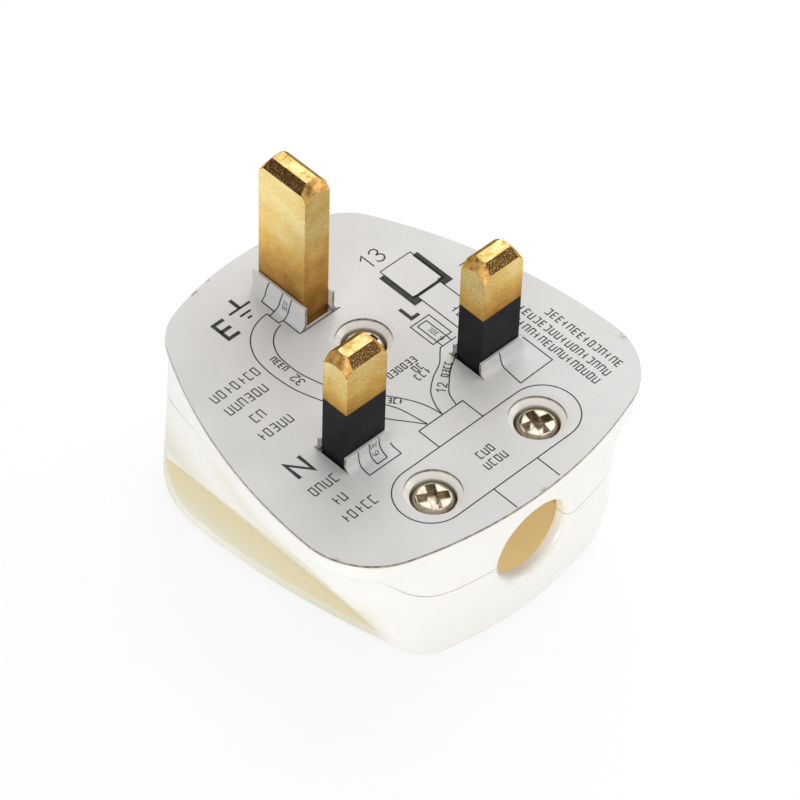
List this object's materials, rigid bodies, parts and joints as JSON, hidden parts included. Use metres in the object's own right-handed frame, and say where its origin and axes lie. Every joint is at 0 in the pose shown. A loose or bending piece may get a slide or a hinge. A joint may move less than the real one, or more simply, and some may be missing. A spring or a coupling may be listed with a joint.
{
  "type": "rewirable mains plug",
  "caption": "Rewirable mains plug with flat earth, live and neutral pins, a wiring card over its face, a fuse, terminals, a cord grip and a round side entry for the cord.",
  "frame": {"origin": "middle of the plug's box seen from the pin side, at the back face that it lies on", "axes": "+Z the way the pins point, +Y from the row of line pins to the earth pin, so the cord leaves toward -Y; +X to the right seen from the pins with the earth pin up, on the neutral pin's side"},
  "size_m": [0.0512, 0.0529, 0.0441],
  "materials": {
    "housing": "smooth white moulding with a slight sheen",
    "card": "pale grey printed card, satin",
    "brass": "bare brass, lightly brushed",
    "sleeve": "black moulded sleeve, satin",
    "plated_steel": "bright nickel plate",
    "grip_bar": "white fibre",
    "ceramic": "unglazed white ceramic",
    "fuse_element": "tinned wire"
  },
  "bodies": {
    "root": {"base_shell": "housing", "cover_shell": "housing", "wiring_card": "card", "earth_pin": "brass", "neutral_pin": "brass", "live_pin": "brass", "neutral_pin_sleeve": "sleeve", "live_pin_sleeve": "sleeve", "terminal_screws": "brass", "cover_screw": "plated_steel", "cord_grip_screws": "plated_steel", "cover_screw_nut": "brass", "cord_grip_bar": "grip_bar", "fuse_clip_pin_end": "brass", "fuse_clip_load_end": "brass", "fuse_cap_pin_end": "plated_steel", "fuse_cap_load_end": "plated_steel", "fuse_barrel": "ceramic", "fuse_wire": "fuse_element", "live_terminal": "brass"}
  },
  "joints": []
}
